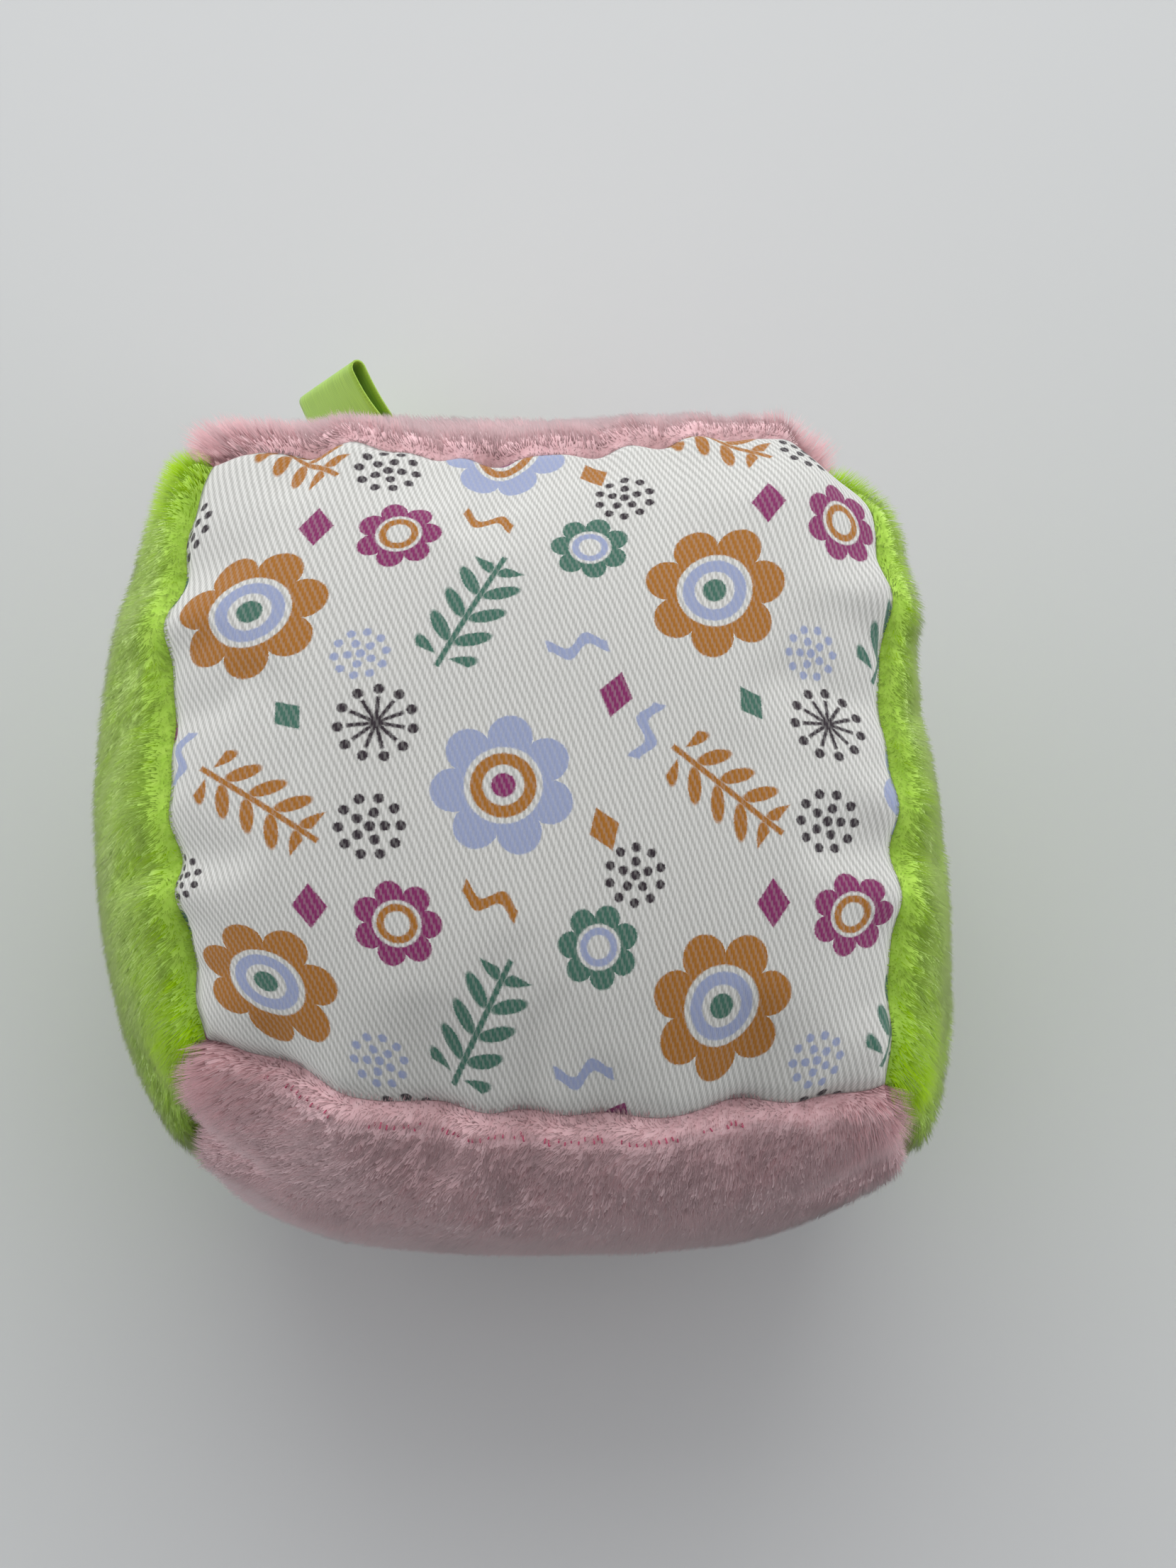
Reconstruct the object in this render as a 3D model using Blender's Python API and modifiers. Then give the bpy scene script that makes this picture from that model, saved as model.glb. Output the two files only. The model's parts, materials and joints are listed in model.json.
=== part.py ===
# Soft fabric block: a stuffed cube sewn from six panels, with a satin ribbon loop in one seam.
# Metres, +Z up, front at -Y and left at -X. The origin is the middle of the flat face it rests on.

import itertools
import math

import bmesh
import bpy
from mathutils import Vector

MM = 0.001

# The cube
SEAM_HALF = 46.5 * MM  # from the centre to the middle of a seam, square to the panel
CORNER_DRAW = 4.5 * MM  # how much further in the corners are drawn, where three panels meet
TWILL_CROWN = 10.5 * MM  # how far a printed twill panel bulges past its seams
PLUSH_CROWN = 13.5 * MM  # how far a plush panel does, pile included
REST_SQUASH = 5.0 * MM  # how much of the bottom crown the floor pushes flat
CROWN_POWER = 2.6  # a crown's profile: 2 is round, more is flatter in the middle

# The slump: a loosely filled block leans out of its even shape. Each line is one soft push:
# its place on the cube from -1 to 1, how far it reaches over that cube, and its move as shares of SLUMP
SLUMP = 7.0 * MM  # how far the right panel has sunk in
LEAN_SHARES = [
    ((1, 0, 0), (0.5, 1, 1.2), (-1, 0, 0)),
    ((1, 0.8, 0.3), (0.5, 0.6, 0.5), (-0.7, 0, 0)),
    ((1, 1, 0), (0.6, 0.6, 0.6), (-0.4, -0.4, 0)),
    ((1, 1, 1), (0.5, 0.5, 0.5), (-0.3, -0.1, -0.5)),
    ((0, 1, 0.2), (1.4, 0.6, 0.9), (0, -0.45, 0)),
    ((0.1, 1, 0.9), (0.9, 0.5, 0.7), (0, -0.45, -0.1)),
    ((-1, 1, 0.8), (0.4, 0.5, 0.5), (-0.3, 0.35, 0)),
    ((-1, 0.7, 0.2), (0.5, 0.5, 0.8), (0.3, 0, 0)),
    ((-1, 0, 0), (0.5, 0.9, 0.9), (-0.25, 0, 0)),
    ((-1, -1, 1), (0.5, 0.45, 0.6), (-0.2, 1, -0.15)),
    ((1, -1, -0.1), (0.45, 0.45, 0.8), (0.3, -0.15, 0)),
]

# Fabrics
TWILL_THICK = 0.6 * MM
PLUSH_THICK = 2.5 * MM  # backing and pile
PLUSH_PRESSED = 1.0 * MM  # the same where it is sewn, with its pile pressed down
ALLOWANCE = 6.0 * MM  # fabric turned in behind a seam
CLEARANCE = 0.3 * MM  # between pieces that touch

# Seam threads
THREAD_RADIUS = 0.2 * MM
THREAD_DEPTH = 1.5 * MM  # how far inside the seam the thread runs
THREAD_END = 3.0 * MM  # how far short of a corner it stops

# Hand stitches that close the opening for the stuffing, along the top of the front panel
CLOSING_HALF = 34.0 * MM  # half of the closed opening's length
CLOSING_DROP = 3.0 * MM  # from the seam down to the middle of the stitches
CLOSING_SWING = 0.7 * MM  # to each side of that line
CLOSING_PITCH = 4.0 * MM
CLOSING_RADIUS = 0.25 * MM

# Ribbon loop
RIBBON_WIDTH = 22.0 * MM
RIBBON_LENGTH = 42.5 * MM  # from the seam to the fold
RIBBON_THICK = 0.35 * MM
RIBBON_CENTRE_X = -19.5 * MM
RIBBON_SLANT = math.radians(29.0)  # to the left
RIBBON_RISE = math.radians(20.0)  # up from level
RIBBON_FOLD_RADIUS = 1.2 * MM
RIBBON_ROOT_GAP = 0.5 * MM  # between the two layers where they enter the seam
HINGE_OFFSET = 2.0 * MM  # from the seam out to the line that the loop turns about

# Facets
PANEL_STEPS = 12
RIBBON_STEPS = 8
FOLD_STEPS = 6
RIBBON_COLUMNS = 4

CORNER_HALF = SEAM_HALF - CORNER_DRAW
LIFT = (THREAD_RADIUS + CLEARANCE) * math.sqrt(2)  # moves each panel out and opens the seams for the thread
REST_HALF = SEAM_HALF + TWILL_CROWN + LIFT - REST_SQUASH
CENTRE = Vector((0, 0, REST_HALF))

AXES = "XYZ"
SIDES = {"-": -1, "+": 1}
PANELS = {
    "top": ("+Z", "twill"),
    "bottom": ("-Z", "twill"),
    "front": ("-Y", "pink_plush"),
    "back": ("+Y", "pink_plush"),
    "left": ("-X", "green_plush"),
    "right": ("+X", "green_plush"),
}
FINISHES = {  # linear colour, roughness
    "twill": ((0.80, 0.80, 0.76), 0.85),
    "green_plush": ((0.28, 0.46, 0.07), 0.95),
    "pink_plush": ((0.66, 0.42, 0.44), 0.95),
    "fibrefill": ((0.90, 0.90, 0.88), 1.0),
    "thread": ((0.75, 0.72, 0.68), 0.6),
    "pink_thread": ((0.36, 0.09, 0.16), 0.6),
    "satin": ((0.30, 0.48, 0.06), 0.35),
}


def fade(share):
    # 1 in the middle of a panel, 0 at its edge
    return 1 - abs(share) ** CROWN_POWER


def reach(a, b, corner, seam, crown):
    # distance from the centre to a panel, at the shares a and b of the way to its edges
    along_seams = (seam - corner) * (fade(a) + fade(b))
    return corner + along_seams + (crown - 2 * seam + corner) * fade(a) * fade(b)


def lean(cube):
    # how far the slump moves a point of the cube
    moved = Vector((0, 0, 0))
    for place, spread, move in LEAN_SHARES:
        away = Vector((cube[axis] - place[axis]) / spread[axis] for axis in range(len(place)))
        moved += math.exp(-away.length_squared) * SLUMP * Vector(move)
    return moved


def form(corner, seam, plush, twill):
    # the inflated cube as a function of a point of the cube from -1 to 1
    def place(x, y, z):
        even = Vector((
            x * reach(y, z, corner, seam, plush),
            y * reach(x, z, corner, seam, plush),
            z * reach(x, y, corner, seam, twill),
        ))
        return even + lean((x, y, z))
    return place


cover = form(CORNER_HALF, SEAM_HALF, SEAM_HALF + PLUSH_CROWN, SEAM_HALF + TWILL_CROWN)


def facing(direction):
    # the direction that a panel faces, such as -Y
    outward = Vector((0, 0, 0))
    outward[AXES.index(direction[1])] = SIDES[direction[0]]
    return outward


def cube_point(outward, u, v):
    # the point of the cube from -1 to 1 on the face that looks outward, at u and v across it
    across = Vector((outward.y, outward.z, outward.x))
    up = outward.cross(across)
    return outward + u * across + v * up


def toward_centre(point, distance):
    return point * (1 - distance / point.length)


def finish(obj, fabric):
    colour, roughness = FINISHES[fabric]
    material = bpy.data.materials.new(obj.name)
    material.use_nodes = True
    shader = material.node_tree.nodes["Principled BSDF"]
    shader.inputs["Base Color"].default_value = (*colour, 1)
    shader.inputs["Roughness"].default_value = roughness
    shader.inputs["Metallic"].default_value = 0
    obj.data.materials.append(material)
    parts.objects.link(obj)
    return obj


def mesh_object(name, bm, fabric, location=CENTRE):
    mesh = bpy.data.meshes.new(name)
    bm.to_mesh(mesh)
    bm.free()
    mesh.shade_smooth()
    obj = bpy.data.objects.new(name, mesh)
    obj.location = location
    return finish(obj, fabric)


def panel(name, outward, fabric):
    # a crowned sheet with its allowances turned in, thickened inward
    bm = bmesh.new()
    bmesh.ops.create_grid(bm, x_segments=PANEL_STEPS, y_segments=PANEL_STEPS, size=1)
    for vert in bm.verts:
        vert.co = cover(*cube_point(outward, vert.co.x, vert.co.y))
    rim = [edge for edge in bm.edges if edge.is_boundary]
    turned = bmesh.ops.extrude_edge_only(bm, edges=rim)["geom"]
    turned = [item for item in turned if isinstance(item, bmesh.types.BMVert)]
    for vert in turned:
        vert.co = toward_centre(vert.co, ALLOWANCE)
    for vert in bm.verts:
        vert.co += outward * LIFT
        vert.co.z = max(vert.co.z, -REST_HALF)
    bmesh.ops.recalc_face_normals(bm, faces=bm.faces)
    crown = max(bm.faces, key=lambda face: face.calc_center_median().dot(outward))
    if crown.normal.dot(outward) < 0:
        bmesh.ops.reverse_faces(bm, faces=bm.faces)
    bm.verts.index_update()
    pressed = [vert.index for vert in turned]
    obj = mesh_object(name, bm, fabric)

    thick = TWILL_THICK if fabric == "twill" else PLUSH_THICK
    sewn = TWILL_THICK if fabric == "twill" else PLUSH_PRESSED
    group = obj.vertex_groups.new(name="thickness")
    group.add(range(len(obj.data.vertices)), 1, "REPLACE")
    group.add(pressed, sewn / thick, "REPLACE")
    solidify = obj.modifiers.new("fabric", "SOLIDIFY")
    solidify.thickness = thick
    solidify.offset = -1
    solidify.use_even_offset = True
    solidify.vertex_group = group.name


def stuffing():
    # fibrefill that fills the panels to their crowns and clears the turned-in allowances
    gap = ALLOWANCE + CLEARANCE
    plush = SEAM_HALF + PLUSH_CROWN + LIFT - PLUSH_THICK - CLEARANCE
    twill = SEAM_HALF + TWILL_CROWN + LIFT - TWILL_THICK - CLEARANCE
    fill = form(CORNER_HALF - gap / math.sqrt(3), SEAM_HALF - gap / math.sqrt(2), plush, twill)
    bm = bmesh.new()
    bmesh.ops.create_cube(bm, size=2)
    bmesh.ops.subdivide_edges(bm, edges=bm.edges[:], cuts=PANEL_STEPS - 1, use_grid_fill=True)
    for vert in bm.verts:
        vert.co = fill(*vert.co)
        vert.co.z = max(vert.co.z, TWILL_THICK + CLEARANCE - REST_HALF)
    mesh_object("stuffing", bm, "fibrefill")


def thread(name, points, radius, fabric):
    curve = bpy.data.curves.new(name, "CURVE")
    curve.dimensions = "3D"
    curve.bevel_depth = radius
    curve.bevel_resolution = 1
    curve.use_fill_caps = True
    spline = curve.splines.new("POLY")
    spline.points.add(len(points) - 1)
    for target, point in zip(spline.points, points):
        target.co = (*point, 1)
    obj = bpy.data.objects.new(name, curve)
    obj.location = CENTRE
    finish(obj, fabric)


def seam_thread(name, first, second):
    # runs between the allowances of the two panels that face first and second, just inside their seam
    end = 1 - THREAD_END / CORNER_HALF
    along = first.cross(second)
    points = []
    for step in range(PANEL_STEPS + 1):
        share = end * (2 * step / PANEL_STEPS - 1)
        points.append(toward_centre(cover(*(first + second + share * along)), THREAD_DEPTH))
    thread(name, points, THREAD_RADIUS, "thread")


def closing_stitch():
    # one thread that swings from side to side of a line below the top seam, on the front panel
    stitches = round(2 * CLOSING_HALF / CLOSING_PITCH)
    lift = Vector((0, -(LIFT + CLEARANCE + 2 * CLOSING_RADIUS), 0))
    points = []
    for step in range(stitches + 1):
        x = (2 * step / stitches - 1) * CLOSING_HALF / SEAM_HALF
        drop = CLOSING_DROP + CLOSING_SWING * (-1) ** step
        points.append(cover(x, -1, 1 - drop / CORNER_HALF) + lift)
    thread("closing_stitch", points, CLOSING_RADIUS, "pink_thread")


def ribbon_tab():
    # a strip folded in half, its cut ends side by side along the hinge line
    x_share = RIBBON_CENTRE_X / SEAM_HALF
    out = Vector((0, HINGE_OFFSET, -HINGE_OFFSET)) / math.sqrt(2)
    seam_point = cover(x_share, 1, -1)
    hinge = Vector((RIBBON_CENTRE_X, seam_point.y, seam_point.z)) + out + CENTRE
    level = Vector((1, 0, 0))
    rising = Vector((0, math.cos(RIBBON_RISE), math.sin(RIBBON_RISE)))
    along = rising * math.cos(RIBBON_SLANT) - level * math.sin(RIBBON_SLANT)
    across = level * math.cos(RIBBON_SLANT) + rising * math.sin(RIBBON_SLANT)
    upward = across.cross(along)
    straight = RIBBON_LENGTH - RIBBON_FOLD_RADIUS
    root_half = (RIBBON_ROOT_GAP + RIBBON_THICK) / 2

    def profile(start):
        # distance along the ribbon and height of its middle line: out below, round the fold, back above
        lower = []
        for step in range(RIBBON_STEPS):
            share = step / RIBBON_STEPS
            opening = (1 - math.cos(math.pi * share)) / 2
            height = root_half + (RIBBON_FOLD_RADIUS - root_half) * opening
            lower.append((start + (straight - start) * share, -height))
        fold = []
        for step in range(FOLD_STEPS + 1):
            turn = math.pi * step / FOLD_STEPS
            fold.append((straight + RIBBON_FOLD_RADIUS * math.sin(turn), -RIBBON_FOLD_RADIUS * math.cos(turn)))
        upper = [(distance, -height) for distance, height in reversed(lower)]
        return lower + fold + upper

    bm = bmesh.new()
    columns = []
    for column in range(RIBBON_COLUMNS + 1):
        offset = RIBBON_WIDTH * (column / RIBBON_COLUMNS - 1 / 2)
        start = -offset * math.tan(RIBBON_SLANT)
        columns.append([
            bm.verts.new(along * distance + upward * height + across * offset)
            for distance, height in profile(start)
        ])
    for left, right in zip(columns, columns[1:]):
        for low in range(len(left) - 1):
            bm.faces.new((left[low], left[low + 1], right[low + 1], right[low]))
    obj = mesh_object("ribbon_tab", bm, "satin", hinge)
    solidify = obj.modifiers.new("ribbon", "SOLIDIFY")
    solidify.thickness = RIBBON_THICK
    solidify.offset = 0
    solidify.use_even_offset = True


for obj in list(bpy.data.objects):
    bpy.data.objects.remove(obj, do_unlink=True)
parts = bpy.data.collections.new("soft_fabric_block")
bpy.context.scene.collection.children.link(parts)

panels = {side: (facing(direction), fabric) for side, (direction, fabric) in PANELS.items()}
for side, (outward, fabric) in panels.items():
    panel(side + "_panel", outward, fabric)
stuffing()
for (side, (first, _)), (other, (second, _)) in itertools.combinations(panels.items(), 2):
    if first.dot(second) == 0:
        seam_thread("seam_" + side + "_" + other, first, second)
closing_stitch()
ribbon_tab()
bpy.context.view_layer.update()
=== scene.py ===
import json
import math
from functools import partial

import bpy
import numpy as np
from mathutils import Matrix, Vector


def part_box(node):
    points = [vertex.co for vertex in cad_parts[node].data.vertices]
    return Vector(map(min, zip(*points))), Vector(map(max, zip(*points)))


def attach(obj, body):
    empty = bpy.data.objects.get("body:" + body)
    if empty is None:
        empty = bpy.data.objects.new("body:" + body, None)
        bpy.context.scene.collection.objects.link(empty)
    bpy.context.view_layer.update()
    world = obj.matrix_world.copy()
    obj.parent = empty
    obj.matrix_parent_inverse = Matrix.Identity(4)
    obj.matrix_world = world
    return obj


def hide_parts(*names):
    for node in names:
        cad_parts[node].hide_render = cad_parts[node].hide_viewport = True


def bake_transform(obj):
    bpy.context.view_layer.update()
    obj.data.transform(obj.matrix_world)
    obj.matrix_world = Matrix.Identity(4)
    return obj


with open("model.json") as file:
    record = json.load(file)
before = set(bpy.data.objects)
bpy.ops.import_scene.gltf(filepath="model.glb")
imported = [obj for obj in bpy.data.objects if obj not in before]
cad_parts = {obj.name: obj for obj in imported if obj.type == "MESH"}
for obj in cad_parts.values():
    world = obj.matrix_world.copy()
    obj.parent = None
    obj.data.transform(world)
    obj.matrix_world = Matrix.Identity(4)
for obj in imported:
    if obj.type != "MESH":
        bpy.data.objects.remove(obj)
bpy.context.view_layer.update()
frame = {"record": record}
mm = 0.001
sideLow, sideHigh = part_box("left_panel")
blockCentre = np.array([0.0, 0.0, (sideLow[2] + sideHigh[2]) / 2])
sides = {  # the cube face of each panel: axis and sign
    "top": (2, 1), "bottom": (2, -1), "front": (1, -1),
    "back": (1, 1), "left": (0, -1), "right": (0, 1),
}


def hexColour(code):
    # an sRGB hex value as linear red, green, blue, alpha
    channels = [int(code[i:i + 2], 16) / 255 for i in (1, 3, 5)]
    return (*[c / 12.92 if c <= 0.04045 else ((c + 0.055) / 1.055) ** 2.4 for c in channels], 1)


def addNode(tree, kind, *values, out=0, named=None, **settings):
    # adds a node, sets it up, and links or sets its inputs in order or by name; it returns an output
    node = tree.nodes.new("ShaderNode" + kind)
    for name, value in settings.items():
        setattr(node, name, value)
    for key, value in list(enumerate(values)) + list((named or {}).items()):
        if isinstance(value, bpy.types.NodeSocket):
            tree.links.new(value, node.inputs[key])
        elif value is not None:
            node.inputs[key].default_value = value
    return node.outputs[out] if node.outputs else node


def newMaterial(name):
    material = bpy.data.materials.new(name)
    material.use_nodes = True
    material.node_tree.nodes.clear()
    return material, partial(addNode, material.node_tree)


def onlySelect(obj):
    bpy.ops.object.select_all(action="DESELECT")
    obj.select_set(True)
    bpy.context.view_layer.objects.active = obj


def readPoints(mesh):
    points = np.empty(len(mesh.vertices) * 3)
    mesh.vertices.foreach_get("co", points)
    return points.reshape(-1, 3)


def readNormals(mesh):
    normals = np.empty(len(mesh.vertices) * 3)
    mesh.vertices.foreach_get("normal", normals)
    return normals.reshape(-1, 3)


def writePoints(mesh, points):
    mesh.vertices.foreach_set("co", np.asarray(points, float).ravel())
    mesh.update()


def readVectors(mesh, name):
    values = np.empty(len(mesh.vertices) * 3)
    mesh.attributes[name].data.foreach_get("vector", values)
    return values.reshape(-1, 3)


def writeVectors(mesh, name, values):
    layer = mesh.attributes.get(name) or mesh.attributes.new(name, "FLOAT_VECTOR", "POINT")
    layer.data.foreach_set("vector", np.asarray(values, float).ravel())


def applyModifier(obj, kind, **settings):
    onlySelect(obj)
    modifier = obj.modifiers.new(kind.lower(), kind)
    for name, value in settings.items():
        setattr(modifier, name, value)
    bpy.ops.object.modifier_apply(modifier=modifier.name)


def finishPiece(obj, body, slotName, *nodes):
    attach(obj, body)
    if nodes:
        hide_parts(*nodes)


noiseCells = 64  # the noise repeats after so many cells


def smoothNoise(points, cell, seed):
    # value noise from -1 to 1 over points in a plane
    grid = np.random.default_rng(seed).uniform(-1, 1, (noiseCells, noiseCells))
    place = points / cell
    low = np.floor(place).astype(int)
    share = place - low
    share = share * share * (3 - 2 * share)
    corners = [grid[tuple(((low + (i, j)) % noiseCells).T)] for i in (0, 1) for j in (0, 1)]
    near = corners[0] + (corners[1] - corners[0]) * share[:, 1]
    far = corners[2] + (corners[3] - corners[2]) * share[:, 1]
    return near + (far - near) * share[:, 0]


# Camera: nearly from above, a little from the front
cameraView = {
    "distance": 0.337, "elevation": 77.0, "azimuth": -1.6, "roll": 0.4,
    "aside": 5.5 * mm, "above": 6.6 * mm, "lens": 54.1,
}


def addCamera(view):
    lift, turn, roll = (math.radians(view[k]) for k in ("elevation", "azimuth", "roll"))
    back = Vector((math.sin(turn) * math.cos(lift), -math.cos(turn) * math.cos(lift), math.sin(lift)))
    level = Vector((math.cos(turn), math.sin(turn), 0))
    up = back.cross(level)
    right = level * math.cos(roll) + up * math.sin(roll)
    up = back.cross(right)
    place = Vector(blockCentre) + back * view["distance"] + right * view["aside"] + up * view["above"]
    bpy.ops.object.camera_add()
    camera = bpy.context.object
    camera.matrix_world = Matrix.Translation(place) @ Matrix((right, up, back)).transposed().to_4x4()
    camera.data.lens = view["lens"]
    camera.data.sensor_width = 36
    camera.data.clip_start = 0.01
    bpy.context.scene.camera = camera


addCamera(cameraView)
print("camera placed")

# The stuffed form: a cube of six flat squares, sewn at the edges and blown up as cloth
blockForm = {
    "panelSide": 100 * mm,  # each panel's sewn size, lying flat
    "steps": 56,
    "crowdToSeams": 0.2,  # finer cells near the seams
    "corner": 42.0 * mm, "seam": 46.3 * mm, "crown": 55.5 * mm, "power": 2.6,
    "pucker": 0.5 * mm, "puckerReach": 0.12,
    "folds": [(23.0, 0.8, 0.1), (13.5, 0.7, 0.35), (8.6, 0.55, 0.6)],  # mm long, mm high, and turns along
    "foldReach": 9 * mm,
    "pressure": 8, "frames": 30, "stiffness": 15, "bending": 0.005, "mass": 0.15,
    "mostMoved": 8 * mm,  # by the cloth simulation
    "seamDepth": 1.4 * mm, "seamWidth": 1.6 * mm,  # the valley that the seam pulls in
    "floorSoftness": 0.8 * mm,
}
photoLean = [  # how this one block leans from an even shape: place on the unit cube, reach, and mm moved
    ((-1, -1, 1), (0.5, 0.45, 0.6), (-1.5, 7.0, -1.0)),
    ((-1, -1, -0.3), (0.45, 0.45, 0.8), (-1.2, -1.0, 0)),
    ((1, -1, -0.1), (0.45, 0.45, 0.8), (4.2, -1.4, 0)),
    ((-1, 0, 0), (0.5, 0.9, 0.9), (-3.2, 0, 0)),
    ((-1, 0.3, 1), (0.4, 0.6, 0.5), (-2.4, 0, 0)),
    ((-1, 0.7, 0.2), (0.5, 0.5, 0.8), (2.0, 0, 0)),
    ((-1, 1, 0.8), (0.4, 0.5, 0.5), (-2.2, 2.5, 0)),
    ((0.1, 1, 0.9), (0.9, 0.5, 0.7), (0, -3.2, -0.5)),
    ((0, 1, 0.2), (1.4, 0.6, 0.9), (0, -3.0, 0)),
    ((1, 0, 0), (0.5, 1.0, 1.2), (-7.0, 0, 0)),
    ((1, 0.6, 0.5), (0.5, 0.5, 0.5), (-2.4, 0, 0)),
    ((1, 0, 1), (0.3, 0.8, 0.3), (2.6, 0, 0)),
    ((1, 1, 0), (0.6, 0.6, 0.6), (-3.0, -3.0, 0)),
    ((1, 0.8, 0.3), (0.5, 0.6, 0.5), (-5.0, 0, 0)),
    ((0.85, 0.85, 1), (0.4, 0.4, 0.35), (5.4, 6.0, 0)),
    ((1, 1, 1), (0.25, 0.25, 0.5), (-6.0, -3.5, -8.0)),
]


def evenForm(cube, size):
    # the blown-up cube as a formula of the unit cube's points
    fade = 1 - np.abs(cube) ** size["power"]
    corner, seam, crown = size["corner"], size["seam"], size["crown"]
    points = np.empty_like(cube)
    for axis in range(3):
        a, b = fade[:, axis - 1], fade[:, axis - 2]
        points[:, axis] = cube[:, axis] * (
            corner + (seam - corner) * (a + b) + (crown - 2 * seam + corner) * a * b
        )
    return points


def seamDistance(cube):
    # share of the half panel between a point and its nearest seam
    return np.sort(1 - np.abs(cube), axis=1)[:, 1]


def puckered(points, cube, size):
    # waves along the seams that die away from them, for the cloth to gather at
    random = np.random.default_rng(4)
    wave = np.zeros(len(cube))
    for axis in range(3):
        for turns, height in ((8.3, 1.0), (13.7, 0.9), (20.6, 0.7), (28.1, 0.5)):
            wave += height * np.sin(cube[:, axis] * turns + random.uniform(0, 2 * math.pi))
    outward = points / np.linalg.norm(points, axis=1)[:, None]
    strength = size["pucker"] * np.exp(-seamDistance(cube) / size["puckerReach"])
    return points + outward * (wave * strength)[:, None]


def buildForm(size):
    bpy.ops.mesh.primitive_cube_add(size=2)
    form = bpy.context.object
    form.name = "blockForm"
    onlySelect(form)
    bpy.ops.object.mode_set(mode="EDIT")
    bpy.ops.mesh.select_all(action="SELECT")
    bpy.ops.mesh.subdivide(number_cuts=size["steps"] - 1)
    bpy.ops.object.mode_set(mode="OBJECT")
    cube = readPoints(form.data)
    cube *= 1 + size["crowdToSeams"] * (1 - cube * cube)
    points = puckered(evenForm(cube, size), cube, size)
    points = blowUp(form, cube, points, size)
    return form, cube, points


def blowUp(form, cube, points, size):
    # Cloth with its rest lengths from the flat panels and air pressure inside
    form.shape_key_add(name="Basis")
    form.shape_key_add(name="sewnFlat")
    keys = form.data.shape_keys.key_blocks
    keys["sewnFlat"].data.foreach_set("co", (cube * size["panelSide"] / 2).ravel())
    keys["Basis"].data.foreach_set("co", points.ravel())
    writePoints(form.data, points)
    cloth = form.modifiers.new("cloth", "CLOTH")
    cloth.settings.rest_shape_key = keys["sewnFlat"]
    for name, value in {
        "quality": 5, "mass": size["mass"], "tension_stiffness": size["stiffness"],
        "compression_stiffness": size["stiffness"] / 2, "shear_stiffness": size["stiffness"] * 0.3,
        "bending_stiffness": size["bending"], "tension_damping": 5, "compression_damping": 5,
        "shear_damping": 5, "bending_damping": 0.5, "air_damping": 4,
        "use_pressure": True, "uniform_pressure_force": size["pressure"],
    }.items():
        setattr(cloth.settings, name, value)
    cloth.settings.effector_weights.gravity = 0
    cloth.point_cache.frame_end = size["frames"]
    for step in range(1, size["frames"] + 1):
        bpy.context.scene.frame_set(step)
    swollen = form.evaluated_get(bpy.context.evaluated_depsgraph_get()).to_mesh()
    result = readPoints(swollen)
    form.modifiers.clear()
    form.shape_key_clear()
    bpy.context.scene.frame_set(1)
    move = result - points
    length = np.linalg.norm(move, axis=1)
    share = np.minimum(1, size["mostMoved"] / np.maximum(length, 1e-9))
    return points + move * share[:, None]


def leaned(points, cube, pushes):
    # the uneven stance of the block in the photo, as soft pushes
    moved = points.copy()
    for place, reach, move in pushes:
        away = np.linalg.norm((cube - place) / np.array(reach), axis=1)
        moved += np.exp(-away * away)[:, None] * np.array(move) * mm
    return moved


def refined(form, cube, points):
    # one subdivision, which carries each point's place on the cube along
    writePoints(form.data, points)
    writeVectors(form.data, "cube", cube)
    applyModifier(form, "SUBSURF", levels=1, render_levels=1)
    return readVectors(form.data, "cube"), readPoints(form.data)


def pulledIn(points, cube, size):
    # the valley along each seam
    gap = seamDistance(cube) * size["panelSide"] / 2
    depth = size["seamDepth"] * np.exp(-(gap / size["seamWidth"]) ** 2)
    return points * (1 - depth / np.linalg.norm(points, axis=1))[:, None]


def onFloor(points, soft):
    # the underside is pressed flat on the floor
    height = points[:, 2]
    low = soft * np.exp(np.minimum(height, soft) / soft - 1)
    return np.column_stack([points[:, :2], np.where(height < soft, low, height)])


def gathered(points, cube, size):
    # the top cloth was a little too long for the back seam, so it gathers there in small folds
    x = cube[:, 0] * size["panelSide"] / 2 / mm
    wave = np.zeros(len(cube))
    for length, height, shift in size["folds"]:
        wave += height * np.sin((x / length + shift) * 2 * math.pi)
    fromSeam = (2 - cube[:, 1] - cube[:, 2]) * size["panelSide"] / 2
    reach = np.where(cube[:, 2] > 0.999, size["foldReach"], size["foldReach"] / 2)
    strength = np.exp(-fromSeam / reach) * (1 - cube[:, 0] ** 4)
    up = np.array([0, 0.5, 1.0])
    return points + up * (wave * strength * mm)[:, None]


form, cube, points = buildForm(blockForm)
points = gathered(leaned(points, cube, photoLean), cube, blockForm)

# Filling: loose polyester fibrefill, a lumpy mass that ends just under the cloth
filling = {
    "under": 2.0 * mm, "underSeams": 6.5 * mm, "seamReach": 0.13,
    "lump": 1.6 * mm, "lumpSize": 9 * mm,
    "fibre": "#F1F0EC", "shade": "#CFCEC8",
}


def fibrefillMaterial(look):
    # crimped polyester fibre, matt white and cloudy
    material, add = newMaterial("polyesterFibrefill")
    place = add("TexCoord", out=3)
    cloud = add("TexNoise", place, None, 160.0, 4.0, 0.7)
    strands = add("TexNoise", place, None, 1500.0, 3.0, 0.6, None, None, 2.0)
    colour = add("MixRGB", cloud, hexColour(look["shade"]), hexColour(look["fibre"]))
    bump = add("Bump", 0.8, 0.4 * mm, named={"Height": strands})
    shader = add("BsdfPrincipled", named={
        "Base Color": colour, "Roughness": 0.9, "Normal": bump, "Sheen Weight": 0.4,
    })
    add("OutputMaterial", shader)
    return material


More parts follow.
